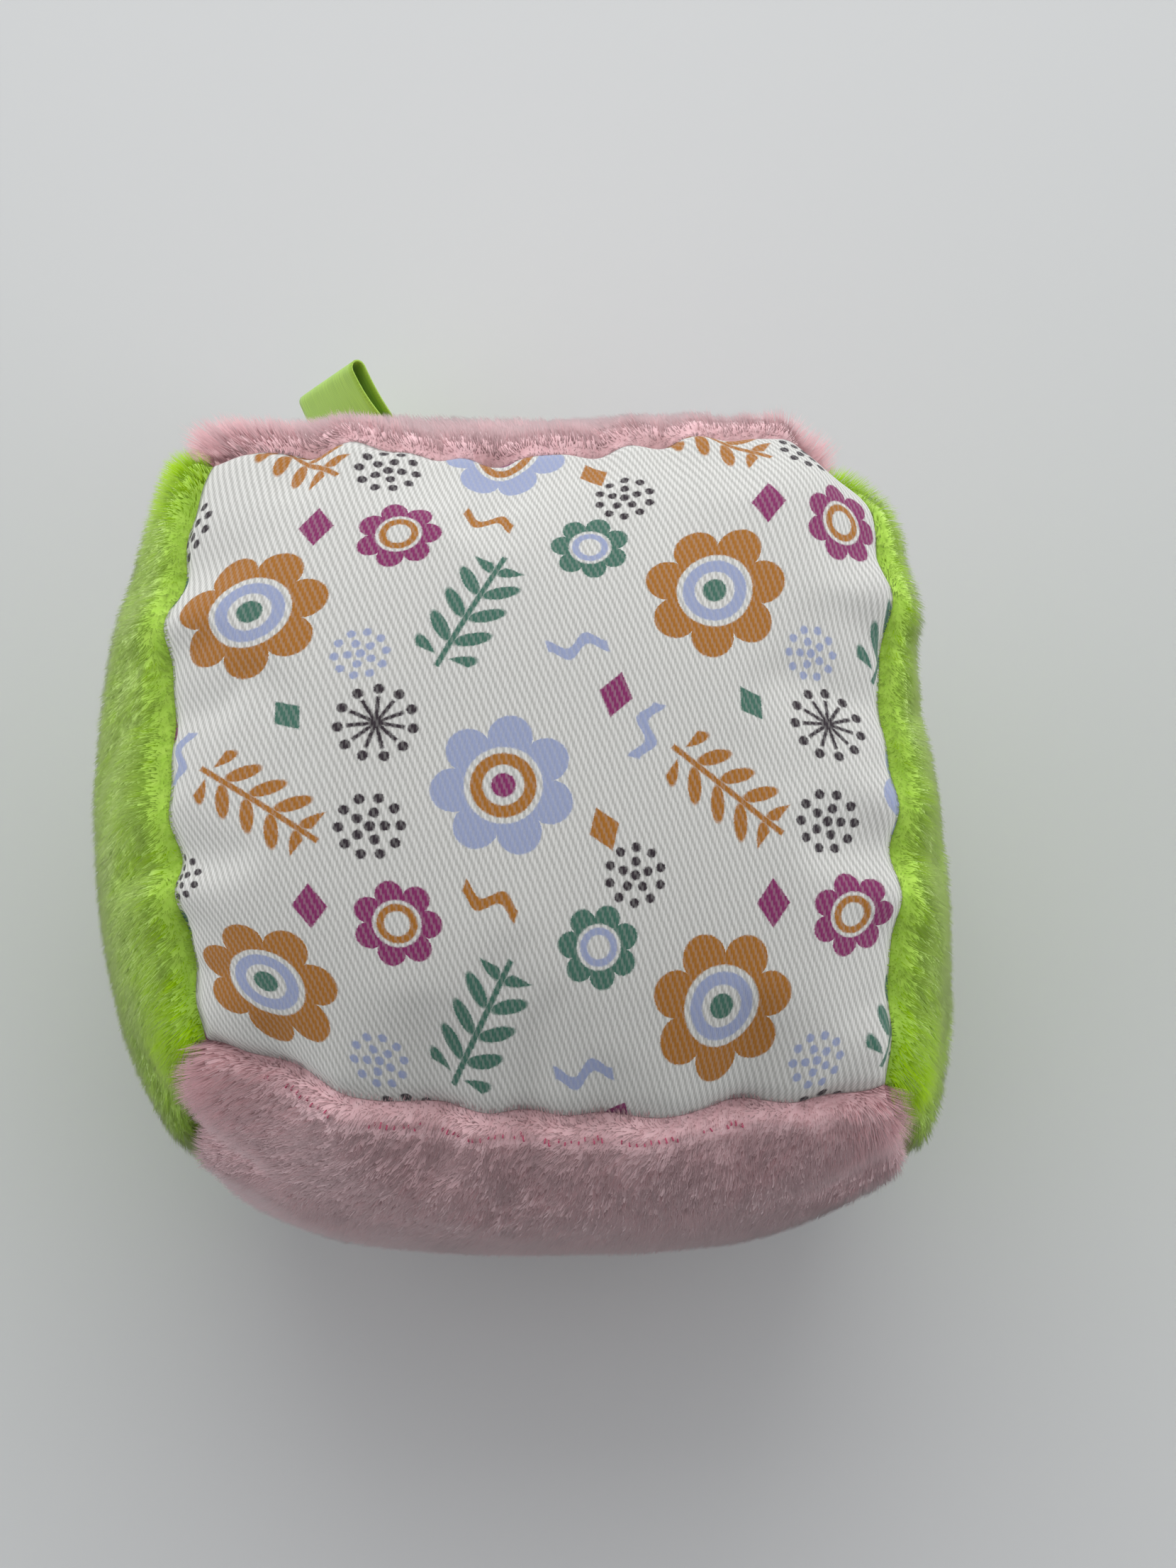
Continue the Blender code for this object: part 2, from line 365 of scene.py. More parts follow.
def buildFilling(form, cube, points, size):
    onlySelect(form)
    bpy.ops.object.duplicate()
    stuffing = bpy.context.object
    stuffing.name = stuffing.data.name = "fibrefillStuffing"
    near = np.exp(-seamDistance(cube) / size["seamReach"])
    under = size["under"] + (size["underSeams"] - size["under"]) * near
    inner = points * (1 - under / np.linalg.norm(points, axis=1))[:, None] + blockCentre
    inner[:, 2] = np.maximum(inner[:, 2], size["under"])
    writePoints(stuffing.data, inner)
    lumps = bpy.data.textures.new("fibreLumps", "CLOUDS")
    lumps.noise_scale = size["lumpSize"]
    applyModifier(stuffing, "DISPLACE", texture=lumps, strength=-size["lump"], mid_level=0)
    stuffing.data.shade_smooth()
    stuffing.data.materials.append(fibrefillMaterial(size))
    finishPiece(stuffing, "block", "fibrefill", "stuffing")


buildFilling(form, cube, points, filling)
print("filling stuffed")

cube, points = refined(form, cube, points)
points = onFloor(pulledIn(points, cube, blockForm) + blockCentre, blockForm["floorSoftness"])
writePoints(form.data, points)
print("form blown up, box", points.min(0).round(4), points.max(0).round(4))

# Printed twill: white 3/1 cotton twill, screen printed, so ink sits on the ridges and misses the gaps
twillPrint = {
    "cloth": "#D2D1CC", "grooveShade": "#A9A8A3",
    "ochre": "#9C631B", "teal": "#3B6556", "magenta": "#7C225A",
    "lavender": "#8F98B6", "charcoal": "#2E252B",
    "endPitch": 0.313, "pickPitch": 0.76, "repeat": 3,  # mm, and yarns to a repeat
    "tile": (61, 56), "edge": 0.12, "ragged": 0.18,
}
flatMillimetres = (100, 100, 0)  # the flat map runs from 0 to 1 over a panel of 100 mm
motifs = [  # kind, place in the tile in mm, turn in degrees, size in mm, inks from the outside in
    ("daisy", (13, 14), 10, 9.8, ("ochre", "lavender", "teal")),
    ("daisy", (45, 43), 30, 9.4, ("lavender", "ochre", "magenta")),
    ("daisy", (31, 25), 0, 5.8, ("magenta", "ochre")),
    ("daisy", (57, 22), 20, 5.4, ("teal", "lavender")),
    ("sprig", (41, 12), 62, 9.5, ("teal",)),
    ("sprig", (14, 42), -38, 9.5, ("ochre",)),
    ("burst", (29, 52), 20, 5.4, ("charcoal",)),
    ("ring", (28, 38), 0, 4.6, ("charcoal",)),
    ("ring", (1, 31), 15, 4.2, ("charcoal",)),
    ("ring", (27, 6), 40, 3.8, ("lavender",)),
    ("wave", (55, 6), 12, 4.0, ("lavender",)),
    ("wave", (3, 50), 75, 4.0, ("lavender",)),
    ("wave", (43, 28), -20, 3.8, ("ochre",)),
    ("diamond", (20, 27), 0, 2.3, ("magenta",)),
    ("diamond", (58, 37), 20, 2.1, ("ochre",)),
    ("diamond", (60, 55), -15, 2.3, ("magenta",)),
    ("diamond", (18, 54), 35, 1.9, ("teal",)),
]

motifParts = {  # shares of a motif's size, counts, and mm where it says so
    "petals": 7, "notch": 0.32, "petalRoot": 0.54, "daisyRings": ((0.37, 0.085), (0.0, 0.17)),
    "stem": 0.4, "leafPitch": 0.42, "leafAside": 0.25, "leafLong": 0.27, "leafWide": 0.1,  # stem in mm
    "leafTurn": 52, "leafEdge": 0.12, "leavesEnd": 0.84,
    "burst": (11, 0.88, 0.13), "ring": (10, 0.85, 0.15),  # dots, their place and their size
    "spoke": 0.28, "spokeEnd": 0.68, "middle": 0.16,  # spoke in mm
    "innerDots": 5, "innerPlace": 0.42, "innerDot": 0.15,
    "swings": 1.15, "swing": 0.9, "stroke": 0.85, "slim": 0.7,  # waves to a mm, and mm high and wide
}


def motifShape(add, kind, size, spot, parts):
    # distance-like fields in mm, above zero inside, one for each ink
    x, y = (add("SeparateXYZ", spot, out=i) for i in (0, 1))
    fromMiddle = add("VectorMath", spot, operation="LENGTH", out=1)
    angle = add("Math", y, x, operation="ARCTAN2")
    if kind == "daisy":
        petal = add("Math", angle, parts["petals"] / 2, operation="MULTIPLY")
        petal = add("Math", petal, operation="COSINE")
        petal = add("Math", add("Math", petal, operation="ABSOLUTE"), 0.6, operation="POWER")
        notch = parts["notch"]
        reach = add("Math", petal, notch * size, (1 - notch) * size, operation="MULTIPLY_ADD")
        outer = add("Math", reach, fromMiddle, operation="SUBTRACT")
        inner = add("Math", fromMiddle, parts["petalRoot"] * size, operation="SUBTRACT")
        fields = [add("Math", outer, inner, operation="MINIMUM")]
        for ring, wide in parts["daisyRings"]:
            away = add("Math", fromMiddle, ring * size, operation="SUBTRACT")
            away = add("Math", away, operation="ABSOLUTE")
            fields.append(add("Math", wide * size, away, operation="SUBTRACT"))
        return fields
    if kind == "sprig":
        aside = add("Math", y, operation="ABSOLUTE")
        length = add("Math", x, operation="ABSOLUTE")
        stem = add("Math", parts["stem"], aside, operation="SUBTRACT")
        whole = add("Math", size, length, operation="SUBTRACT")
        stem = add("Math", stem, whole, operation="MINIMUM")
        pitch = size * parts["leafPitch"]
        along = add("Math", x, pitch / 2, -pitch / 2, operation="WRAP")
        outside = add("Math", aside, parts["leafAside"] * size, operation="SUBTRACT")
        leaf = add("CombineXYZ", along, outside, 0.0)
        leaf = add("VectorRotate", leaf, (0, 0, 0), (0, 0, 1), math.radians(-parts["leafTurn"]))
        shares = (1 / (parts["leafLong"] * size), 1 / (parts["leafWide"] * size), 0)
        leaf = add("VectorMath", leaf, shares, operation="MULTIPLY")
        leaf = add("VectorMath", leaf, operation="LENGTH", out=1)
        leaf = add("Math", 1.0, leaf, operation="SUBTRACT")
        leaf = add("Math", leaf, parts["leafEdge"] * size, operation="MULTIPLY")
        whole = add("Math", size * parts["leavesEnd"], length, operation="SUBTRACT")
        leaf = add("Math", leaf, whole, operation="MINIMUM")
        return [add("Math", stem, leaf, operation="MAXIMUM")]
    if kind in ("burst", "ring"):
        spokes, dotPlace, dotSize = parts[kind]
        half = math.pi / spokes
        turn = add("Math", angle, half, -half, operation="WRAP")
        aside = add("Math", turn, fromMiddle, operation="MULTIPLY")
        away = add("Math", fromMiddle, dotPlace * size, operation="SUBTRACT")
        dot = add("VectorMath", add("CombineXYZ", aside, away, 0.0), operation="LENGTH", out=1)
        shape = add("Math", dotSize * size, dot, operation="SUBTRACT")
        if kind == "burst":
            spoke = add("Math", aside, operation="ABSOLUTE")
            spoke = add("Math", parts["spoke"], spoke, operation="SUBTRACT")
            inside = add("Math", parts["spokeEnd"] * size, fromMiddle, operation="SUBTRACT")
            spoke = add("Math", spoke, inside, operation="MINIMUM")
            shape = add("Math", shape, spoke, operation="MAXIMUM")
        else:
            half = math.pi / parts["innerDots"]
            turn = add("Math", angle, half, -half, operation="WRAP")
            aside = add("Math", turn, fromMiddle, operation="MULTIPLY")
            away = add("Math", fromMiddle, parts["innerPlace"] * size, operation="SUBTRACT")
            dot = add("VectorMath", add("CombineXYZ", aside, away, 0.0), operation="LENGTH", out=1)
            dot = add("Math", parts["innerDot"] * size, dot, operation="SUBTRACT")
            shape = add("Math", shape, dot, operation="MAXIMUM")
        middle = add("Math", parts["middle"] * size, fromMiddle, operation="SUBTRACT")
        return [add("Math", shape, middle, operation="MAXIMUM")]
    if kind == "wave":
        swing = add("Math", x, parts["swings"], operation="MULTIPLY")
        swing = add("Math", swing, operation="SINE")
        swing = add("Math", swing, -parts["swing"], y, operation="MULTIPLY_ADD")
        stroke = add("Math", parts["stroke"], add("Math", swing, operation="ABSOLUTE"), operation="SUBTRACT")
        ends = add("Math", size, add("Math", x, operation="ABSOLUTE"), operation="SUBTRACT")
        return [add("Math", stroke, ends, operation="MINIMUM")]
    slim = add("VectorMath", spot, (1.0, parts["slim"], 0), operation="MULTIPLY")
    slim = add("VectorMath", slim, operation="ABSOLUTE")
    spread = add("VectorMath", slim, (1, 1, 0), operation="DOT_PRODUCT", out=1)
    return [add("Math", size, spread, operation="SUBTRACT")]


def twillMaterial(look):
    material, add = newMaterial("printedCottonTwill")
    flat = add("UVMap", uv_map="flat")
    place = add("VectorMath", flat, flatMillimetres, operation="MULTIPLY")  # mm on the panel
    # weave: upright floats two picks long, each column a pick lower than the last, so they line up in ridges
    wobble = add("TexNoise", place, None, 0.6, 2.0, out=1)
    woven = add("VectorMath", wobble, (0.25, 0.4, 0), place, operation="MULTIPLY_ADD")
    perYarn = (1 / look["endPitch"], 1 / look["pickPitch"], 0)
    yarns = add("VectorMath", woven, perYarn, operation="MULTIPLY")
    ends, picks = (add("SeparateXYZ", yarns, out=i) for i in (0, 1))
    column = add("Math", ends, operation="FLOOR")
    step = add("Math", add("Math", column, picks, operation="ADD"), look["repeat"], 0.0, operation="WRAP")
    floats = add("Math", step, math.pi / (look["repeat"] - 0.6), operation="MULTIPLY")
    floats = add("Math", add("Math", floats, operation="SINE"), 0.0, operation="MAXIMUM")
    yarn = add("Math", add("Math", ends, operation="FRACT"), math.pi, operation="MULTIPLY")
    yarn = add("Math", add("Math", yarn, operation="SINE"), 0.35, 0.65, operation="MULTIPLY_ADD")
    fibre = add("TexNoise", place, None, 5.0, 3.0, 0.6)
    height = add("Math", floats, yarn, operation="MULTIPLY")
    height = add("Math", fibre, 0.4, height, operation="MULTIPLY_ADD")
    # painted shade: the weave's low parts take the darker groove colour
    cover = add("MapRange", height, 0.1, 1.1, 0.0, 1.0)
    colour = add("MixRGB", cover, hexColour(look["grooveShade"]), hexColour(look["cloth"]))
    # print
    rag = add("TexNoise", place, None, 3.5, 2.0, out=1)
    rag = add("VectorMath", rag, (0.5, 0.5, 0.5), operation="SUBTRACT")
    spotOn = add("VectorMath", rag, (look["ragged"] * 2,) * 3, place, operation="MULTIPLY_ADD")
    tileHigh = (look["tile"][0] / 2, look["tile"][1] / 2, 1)
    tileLow = [-side for side in tileHigh]
    takes = add("MapRange", height, 0.05, 0.75, 0.72, 1.0)
    for kind, (placeX, placeY), turn, size, inks in motifs:
        spot = add("VectorMath", spotOn, (placeX, placeY, 0), operation="SUBTRACT")
        spot = add("VectorMath", spot, tileHigh, tileLow, operation="WRAP")
        spot = add("VectorRotate", spot, (0, 0, 0), (0, 0, 1), math.radians(-turn))
        for field, ink in zip(motifShape(add, kind, size, spot, motifParts), inks):
            mask = add("MapRange", field, -look["edge"], look["edge"], 0.0, 1.0)
            mask = add("Math", mask, takes, operation="MULTIPLY")
            colour = add("MixRGB", mask, colour, hexColour(look[ink]))
    bump = add("Bump", 0.4, 0.16 * mm, named={"Height": height})
    shader = add("BsdfPrincipled", named={
        "Base Color": colour, "Roughness": 0.85, "Normal": bump, "Sheen Weight": 0.15, "Sheen Roughness": 0.5,
        "Specular IOR Level": 0.25,
    })
    add("OutputMaterial", shader)
    return material


# Plush: short polyester pile, dyed and brushed one way, so it shines along the nap
# root colours are darker than tip colours: painted shade deep in the pile
greenPlush = {"name": "limePlush", "root": "#A6D545", "tip": "#C3E865", "sheen": "#EEF9C4", "rim": 0.45}
pinkPlush = {"name": "palePinkPlush", "root": "#E2B0B4", "tip": "#F6D0D2", "sheen": "#FFF0F0", "rim": 0.45}


def rimLit(add, look, colour, normal):
    # painted sheen: the colour is mixed toward the sheen colour where the surface turns away from the eye, as
    # the fibre ends make velvet look paler there
    rim = add("LayerWeight", 0.5, normal, out="Facing")
    rim = add("Math", rim, 3.0, operation="POWER")
    rim = add("Math", rim, look["rim"], operation="MULTIPLY")
    return add("MixRGB", rim, colour, hexColour(look["sheen"]))


def plushMaterial(look):
    material, add = newMaterial(look["name"])
    along = add("Attribute", attribute_name="along", out=2)
    toneAndCornerLight = add("Attribute", attribute_name="toneAndCornerLight", out=2)
    facing = add("Attribute", attribute_name="facing", out=1)
    # painted shade: each strand is darker toward its root, where the pile shades itself
    grown = add("MapRange", along, 0.0, 0.85, 0.0, 1.0)
    colour = add("MixRGB", grown, hexColour(look["root"]), hexColour(look["tip"]))
    # value and vividness follow an attribute that holds random tone and the painted corner light
    value = add("MapRange", toneAndCornerLight, 0.0, 1.2, 0.82, 1.2)
    vivid = add("MapRange", toneAndCornerLight, 0.5, 1.2, 1.0, 1.2)
    colour = add("HueSaturation", 0.5, vivid, value, 1.0, colour)
    normal = add("NewGeometry", out=1)
    normal = add("VectorMath", facing, (6.0,) * 3, normal, operation="MULTIPLY_ADD")
    normal = add("VectorMath", normal, operation="NORMALIZE")
    colour = rimLit(add, look, colour, normal)
    shader = add("BsdfPrincipled", named={
        "Base Color": colour, "Roughness": 0.8, "Normal": normal, "Sheen Weight": 1.0, "Sheen Roughness": 0.5,
        "Sheen Tint": hexColour(look["sheen"]), "Specular IOR Level": 0.05,
    })
    through = add("BsdfTranslucent", colour, normal)
    fibre = add("MixShader", 0.12, shader, through)
    # fine fibres let much of the light past, so they shade each other softly
    clear = add("BsdfTransparent")
    shadow = add("Math", add("LightPath", out="Is Shadow Ray"), 0.92, operation="MULTIPLY")
    add("OutputMaterial", add("MixShader", shadow, fibre, clear))
    return material


def pileBodyMaterial(look):
    # the close pile between the fibre ends: soft wisps along the nap, which runs along the map's first axis
    material, add = newMaterial(look["name"] + "Body")
    flat = add("UVMap", uv_map="flat")
    place = add("VectorMath", flat, flatMillimetres, operation="MULTIPLY")  # mm on the panel
    drift = add("TexNoise", place, None, 0.12, 2.0, out=1)
    place = add("VectorMath", drift, (6, 6, 0), place, operation="MULTIPLY_ADD")
    wisps = add("VectorMath", place, (0.45, 1.3, 0), operation="MULTIPLY")
    wisps = add("TexNoise", wisps, None, 1.0, 3.0, 0.6)
    fibres = add("VectorMath", place, (1.6, 7.0, 0), operation="MULTIPLY")
    fibres = add("TexNoise", fibres, None, 1.0, 2.0, 0.6)
    height = add("Math", fibres, 0.35, wisps, operation="MULTIPLY_ADD")
    # painted shade: the low parts of the wisps take the darker root colour, the high parts the tip colour
    colour = add("MapRange", height, 0.4, 1.0, 0.0, 1.0)
    colour = add("MixRGB", colour, hexColour(look["root"]), hexColour(look["tip"]))
    bump = add("Bump", 0.12, 0.6 * mm, named={"Height": height})
    colour = rimLit(add, look, colour, bump)
    shader = add("BsdfPrincipled", named={
        "Base Color": colour, "Roughness": 0.9, "Normal": bump, "Sheen Weight": 1.0, "Sheen Roughness": 0.5,
        "Sheen Tint": hexColour(look["sheen"]), "Specular IOR Level": 0.05,
    })
    add("OutputMaterial", shader)
    return material


print("materials")
twill = twillMaterial(twillPrint)
plush = {"green": plushMaterial(greenPlush), "pink": plushMaterial(pinkPlush)}
pileBody = {"green": pileBodyMaterial(greenPlush), "pink": pileBodyMaterial(pinkPlush)}

# Panels: the form is cut at its seams, each edge turned in and the cloth given its thickness
panelCloth = {
    "twillThick": 0.5 * mm, "plushThick": 1.8 * mm, "allowance": 4.0 * mm, "apart": 0.12 * mm,
    "pileBody": 1.3 * mm, "bodyReach": 1.5 * mm,  # how far the close pile stands up, and how fast from a seam
}
napTurns = {"left": -40, "right": -140, "front": -140, "back": -60}  # degrees on the flat panel
panelDyes = {"top": None, "bottom": None, "front": "pink", "back": "pink", "left": "green", "right": "green"}


def alongNap(name):
    # turns points of a flat panel so that the first axis runs along its nap
    turn = math.radians(napTurns[name])
    return np.array([[math.cos(turn), -math.sin(turn)], [math.sin(turn), math.cos(turn)]])


def cutPanels(form, cube):
    mesh = form.data
    for name in sides:
        mesh.materials.append(pileBody[panelDyes[name]] if panelDyes[name] else twill)
    loopPoint = np.empty(len(mesh.loops), int)
    mesh.loops.foreach_get("vertex_index", loopPoint)
    corners = cube[loopPoint].reshape(-1, 4, 3)
    middle = corners.mean(1)
    axis = np.abs(middle).argmax(1)
    sign = np.sign(middle[np.arange(len(middle)), axis])
    which = np.zeros(len(middle), int)
    flat = np.zeros((len(middle), 4, 2))
    for index, name in enumerate(sides):
        chosen = (axis == sides[name][0]) & (sign == sides[name][1])
        which[chosen] = index
        flat[chosen] = panelFlat(name, corners[chosen].reshape(-1, 3)).reshape(-1, 4, 2)
        if name in napTurns:
            flat[chosen] = flat[chosen] @ alongNap(name)
    mesh.polygons.foreach_set("material_index", which)
    layer = mesh.uv_layers.new(name="flat")
    layer.data.foreach_set("uv", flat.ravel())
    onlySelect(form)
    bpy.ops.object.mode_set(mode="EDIT")
    bpy.ops.mesh.separate(type="MATERIAL")
    bpy.ops.object.mode_set(mode="OBJECT")
    panels = {}
    for obj in bpy.context.selected_objects:
        middle = readPoints(obj.data).mean(0) - blockCentre
        axis = int(np.abs(middle).argmax())
        name = next(n for n, side in sides.items() if side == (axis, int(np.sign(middle[axis]))))
        obj.name = name + "PanelCloth"
        obj.data.name = obj.name
        panels[name] = obj
    return panels


def panelFlat(name, cube):
    # where a point of the panel lies on the flat cloth, from 0 to 1, seen from outside
    axis, sign = sides[name]
    if axis == 2:
        u, v = cube[:, 0], cube[:, 1] * sign
    elif axis == 1:
        u, v = -sign * cube[:, 0], cube[:, 2]
    else:
        u, v = sign * cube[:, 1], cube[:, 2]
    return np.stack([u, v], 1) / 2 + 0.5


def finishPanel(name, panel, cloth):
    onlySelect(panel)
    axis, sign = sides[name]
    outward = np.zeros(3)
    outward[axis] = sign
    writePoints(panel.data, readPoints(panel.data) + outward * cloth["apart"])
    bpy.ops.object.mode_set(mode="EDIT")
    bpy.ops.mesh.select_all(action="SELECT")
    bpy.ops.mesh.region_to_loop()
    bpy.ops.mesh.extrude_edges_move()
    bpy.ops.object.mode_set(mode="OBJECT")
    points = readPoints(panel.data)
    turned = np.zeros(len(points), bool)
    picked = np.zeros(len(points), bool)
    panel.data.vertices.foreach_get("select", picked)
    turned[picked] = True
    centre = blockCentre + outward * cloth["apart"]
    inward = points[turned] - centre
    inward *= (1 - cloth["allowance"] / np.linalg.norm(inward, axis=1))[:, None]
    points[turned] = centre + inward
    points[:, 2] = np.maximum(points[:, 2], 0.05 * mm)
    writePoints(panel.data, points)
    panel.data.shade_smooth()
    thick = cloth["plushThick"] if panelDyes[name] else cloth["twillThick"]
    applyModifier(panel, "SOLIDIFY", thickness=thick, offset=-1)
    slotName = {None: "printed_twill", "pink": "pink_plush", "green": "green_plush"}[panelDyes[name]]
    finishPiece(panel, "block", slotName, name + "_panel")


panels = cutPanels(form, cube)
domes = {}
for name, panel in panels.items():  # what the pile grows from
    mesh = panel.data
    if panelDyes[name]:
        gap = seamDistance(readVectors(mesh, "cube")) * blockForm["panelSide"] / 2
        rise = panelCloth["pileBody"] * (1 - np.exp(-(gap / panelCloth["bodyReach"]) ** 2))
        writePoints(mesh, readPoints(mesh) + readNormals(mesh) * rise[:, None])
    mesh.calc_loop_triangles()
    tris = np.empty(len(mesh.loop_triangles) * 3, int)
    mesh.loop_triangles.foreach_get("vertices", tris)
    domes[name] = (readPoints(mesh), tris.reshape(-1, 3), readVectors(mesh, "cube"), readNormals(mesh))
for name, panel in panels.items():
    finishPanel(name, panel, panelCloth)
print("panels cut and sewn")

# Pile: tapered strands in tufts, thousands to a piece
pileCut = {
    "strands": 46000, "pieces": 2, "length": 2.3 * mm, "width": 0.14 * mm, "lean": 58, "sink": 0.2 * mm,
    "tuft": 1.4 * mm, "gather": 0.28, "tuftTurn": 0.28, "tuftLean": 5, "ownTurn": 0.12, "ownLean": 5,
    "cloud": (4 * mm, 0.2, 14), "tuftTint": 0.2, "paintedCornerLight": 0.6,  # light and dark, with the corners painted paler as light caught in their fluff
    "streak": (np.array([2.5, 0.4]) * mm, 0.3, 15),  # wisps, long on the nap and thin across
    "swirl": (17 * mm, 0.5, 11), "curl": (6 * mm, 0.3, 12), "sway": (9 * mm, 8, 13),  # of turn and lean
    "edgeReach": 3.0 * mm, "edgeLength": 0.85, "edgeCrowd": 0.5,  # beside the seams
    "overSeam": 1.3 * mm, "overLean": 0.6,
    "fluff": {"pink": 1.3, "green": 0.5}, "fluffReach": 9 * mm, "fluffSpread": 0.6,  # at the corners
    "fluffDown": 0.6, "fluffUpright": 0.4,
    "topside": 2.2, "cornerLift": (0, 0, 1.5), "edgeTurn": 0.4,  # which way a strand's shine faces
    "sewnFrom": 1.4 * mm, "sewnTo": 3.7 * mm, "sewnLength": 0.35,  # along the closed opening
}

tuftCells = 80  # the tufts repeat after so many


def drift(flat, kind):
    # a slow change over a panel, from its cell, its strength and its seed
    cell, strength, seed = kind
    return strength * smoothNoise(flat, cell, seed)


def growPile(name, half, cut, seed):
    points, tris, cubeAt, normals = domes[name]
    random = np.random.default_rng(seed)
    a, b, c = (points[tris[:, i]] for i in range(3))
    area = np.linalg.norm(np.cross(b - a, c - a), axis=1)
    count = cut["strands"]
    fromSeam = seamDistance(cubeAt[tris].mean(1)) * blockForm["panelSide"] / 2
    area *= 1 + cut["edgeCrowd"] * np.exp(-(fromSeam / cut["edgeReach"]) ** 2)
    pick = random.choice(len(tris), count, p=area / area.sum())
    share = random.random((count, 2))
    over = share.sum(1) > 1
    share[over] = 1 - share[over]
    weights = np.stack([1 - share.sum(1), share[:, 0], share[:, 1]], 1)[:, :, None]
    root = (points[tris[pick]] * weights).sum(1)
    outward = (normals[tris[pick]] * weights).sum(1)
    outward /= np.linalg.norm(outward, axis=1)[:, None]
    cubeHere = (cubeAt[tris[pick]] * weights).sum(1)
    flat = panelFlat(name, cubeHere) * blockForm["panelSide"]
    # directions of the flat cloth's two axes on the curved panel
    flatCorners = panelFlat(name, cubeAt)[tris[pick]] * blockForm["panelSide"]
    e1, e2 = b[pick] - a[pick], c[pick] - a[pick]
    f1, f2 = flatCorners[:, 1] - flatCorners[:, 0], flatCorners[:, 2] - flatCorners[:, 0]
    det = f1[:, 0] * f2[:, 1] - f1[:, 1] * f2[:, 0]
    alongU = (e1 * f2[:, 1:2] - e2 * f1[:, 1:2]) / det[:, None]
    alongV = (e2 * f1[:, 0:1] - e1 * f2[:, 0:1]) / det[:, None]
    # tufts: each strand belongs to the nearest middle on an uneven grid
    cell = cut["tuft"]
    tuftGrid = np.random.default_rng(7).random((tuftCells, tuftCells, 2))
    tuftLook = np.random.default_rng(8).uniform(-1, 1, (tuftCells, tuftCells, 3))
    base = np.floor(flat / cell).astype(int)
    best = np.full(count, np.inf)
    tuft = flat.copy()
    ownLook = np.zeros((count, 3))
    for i in (-1, 0, 1):
        for j in (-1, 0, 1):
            place = base + (i, j)
            column, row = (place % tuftCells).T
            middle = (place + tuftGrid[column, row]) * cell
            away = np.linalg.norm(middle - flat, axis=1)
            nearer = away < best
            best[nearer] = away[nearer]
            tuft[nearer] = middle[nearer]
            ownLook[nearer] = tuftLook[column[nearer], row[nearer]]
    # nap with slow swirls, which each tuft follows in its own way
    turn = np.radians(napTurns[name]) + drift(flat, cut["swirl"]) + drift(flat, cut["curl"])
    turn += cut["tuftTurn"] * ownLook[:, 0] + random.normal(0, cut["ownTurn"], count)
    lean = cut["lean"] + drift(flat, cut["sway"]) + cut["tuftLean"] * ownLook[:, 1]
    lean = np.radians(lean + random.normal(0, cut["ownLean"], count))
    gap = seamDistance(cubeHere) * blockForm["panelSide"] / 2
    # the corners are fluffier
    fromCorner = np.linalg.norm((1 - np.abs(cubeHere)) * (1, 1, cut["fluffDown"]), axis=1)
    fromCorner *= blockForm["panelSide"] / 2
    corner = np.exp(-(fromCorner / cut["fluffReach"]) ** 2)
    lean *= 1 - cut["fluffUpright"] * corner
    short = cut["edgeLength"] + (1 - cut["edgeLength"]) * np.clip(gap / cut["edgeReach"], 0, 1)
    if name == "front":
        fromTop = (1 - cubeHere[:, 2]) * blockForm["panelSide"] / 2
        sewn = np.clip((cut["sewnTo"] - fromTop) / mm, 0, 1) * np.clip((fromTop - cut["sewnFrom"]) / mm, 0, 1)
        short = short * (1 - sewn) + cut["sewnLength"] * sewn
    fluff = cut["fluff"][panelDyes[name]] * corner
    length = cut["length"] * (short + fluff) * random.uniform(0.8, 1.1, count)
    across = np.stack([np.cos(turn), np.sin(turn)], 1) * (np.sin(lean) * length)[:, None]
    across += cut["gather"] * (tuft - flat) * short[:, None]
    # beside a seam the strands stand up and lean over its edge instead
    inPanel = flat / blockForm["panelSide"] * 2 - 1
    overEdge = np.where(np.abs(inPanel) >= np.abs(inPanel).max(1)[:, None], np.sign(inPanel), 0)
    beside = np.exp(-(gap / cut["overSeam"]) ** 2)[:, None]
    across = across * (1 - beside) + overEdge * cut["overLean"] * length[:, None] * beside
    strand = alongU * across[:, 0:1] + alongV * across[:, 1:2] + outward * (np.cos(lean) * length)[:, None]
    # at the corners they spread away from the block's middle
    spread = root - blockCentre
    spread /= np.linalg.norm(spread, axis=1)[:, None]
    strand += (spread * length[:, None] - strand) * (cut["fluffSpread"] * corner)[:, None]
    tip = root + strand
    root = root - outward * cut["sink"]
    strand = tip - root
